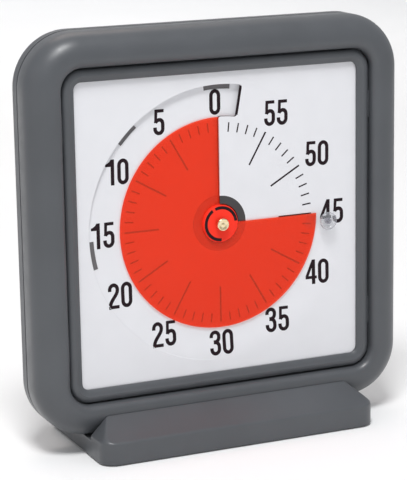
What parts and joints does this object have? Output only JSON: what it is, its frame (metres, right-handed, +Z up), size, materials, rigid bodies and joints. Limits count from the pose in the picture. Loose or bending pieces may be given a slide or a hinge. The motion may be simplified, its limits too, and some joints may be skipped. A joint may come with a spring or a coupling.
{
  "type": "visual countdown timer",
  "caption": "Square countdown timer whose red film disc shows the time left, standing in a lift-out stand with a battery movement behind its dial.",
  "frame": {"origin": "on the floor, under the middle of the timer's box", "axes": "+X to the viewer's right, +Y from the dial to the back, +Z up"},
  "size_m": [0.203, 0.08, 0.2125],
  "materials": {
    "charcoal_plastic": "fine moulded texture",
    "dial_white": "smooth printed card",
    "red_film": "smooth translucent film",
    "clear_plastic": "clear moulded",
    "black_plastic": "satin",
    "movement_plastic": "satin",
    "brass": "polished",
    "steel": "plated",
    "copper_wire": "enamelled",
    "board_green": "solder mask",
    "battery_sleeve": "printed sleeve",
    "foot_rubber": "soft"
  },
  "bodies": {
    "stand": {"stand_base": "charcoal_plastic", "stand_feet": "foot_rubber"},
    "housing": {"front_frame": "charcoal_plastic", "rear_cover": "charcoal_plastic", "inner_bezel": "charcoal_plastic", "dial_card": "dial_white", "dial_spiral": "dial_white", "hub_ring": "black_plastic", "cover_screws": "steel", "movement_case": "movement_plastic", "movement_cover": "movement_plastic", "movement_screws": "steel", "coil": "copper_wire", "stator": "steel", "circuit_board": "board_green", "switch_body": "steel", "buzzer": "black_plastic", "battery_tray": "black_plastic", "battery": "battery_sleeve", "battery_contacts": "steel"},
    "arbor": {"main_arbor": "brass", "centre_wheel": "movement_plastic", "clutch_spring": "steel", "brass_cap": "brass"},
    "disc": {"red_film": "red_film", "film_hub": "red_film", "hub_arc": "black_plastic", "knob_tab": "clear_plastic", "knob": "clear_plastic"},
    "second": {"second_gear": "movement_plastic"},
    "third": {"third_gear": "movement_plastic"},
    "rotor": {"rotor": "steel"},
    "door": {"battery_door": "charcoal_plastic"},
    "slider": {"sound_switch": "black_plastic"}
  },
  "joints": [
    {"name": "housing_lift", "type": "slide", "parent": "stand", "child": "housing", "axis": [0, 0, 1], "range_m": [0, 0.03]},
    {"name": "disc_turn", "type": "hinge", "parent": "housing", "child": "arbor", "pos_m": [0, -0.0113, 0.111], "axis": [0, 1, 0], "range_deg": [-90, 270]},
    {"name": "disc_advance", "type": "slide", "parent": "arbor", "child": "disc", "axis": [0, 1, 0], "range_m": [-0.00061, 0.00181]},
    {"name": "second_turn", "type": "hinge", "parent": "housing", "child": "second", "pos_m": [0.01226, -0.0013, 0.12129], "axis": [0, 1, 0], "continuous": true},
    {"name": "third_turn", "type": "hinge", "parent": "housing", "child": "third", "pos_m": [0.02048, -0.0013, 0.11148], "axis": [0, 1, 0], "continuous": true},
    {"name": "rotor_turn", "type": "hinge", "parent": "housing", "child": "rotor", "pos_m": [0.01314, -0.0013, 0.10099], "axis": [0, 1, 0], "continuous": true},
    {"name": "door_hinge", "type": "hinge", "parent": "housing", "child": "door", "pos_m": [0, 0.00715, 0.06645], "axis": [1, 0, 0], "range_deg": [0, 90]},
    {"name": "sound_slide", "type": "slide", "parent": "housing", "child": "slider", "axis": [1, 0, 0], "range_m": [0, 0.004]}
  ],
  "couplings": [
    {"joint": "disc_advance", "follows": "disc_turn", "m_per_rad": 0.00038197},
    {"joint": "second_turn", "follows": "disc_turn", "ratio": -4},
    {"joint": "third_turn", "follows": "disc_turn", "ratio": 12},
    {"joint": "rotor_turn", "follows": "disc_turn", "ratio": -36}
  ]
}
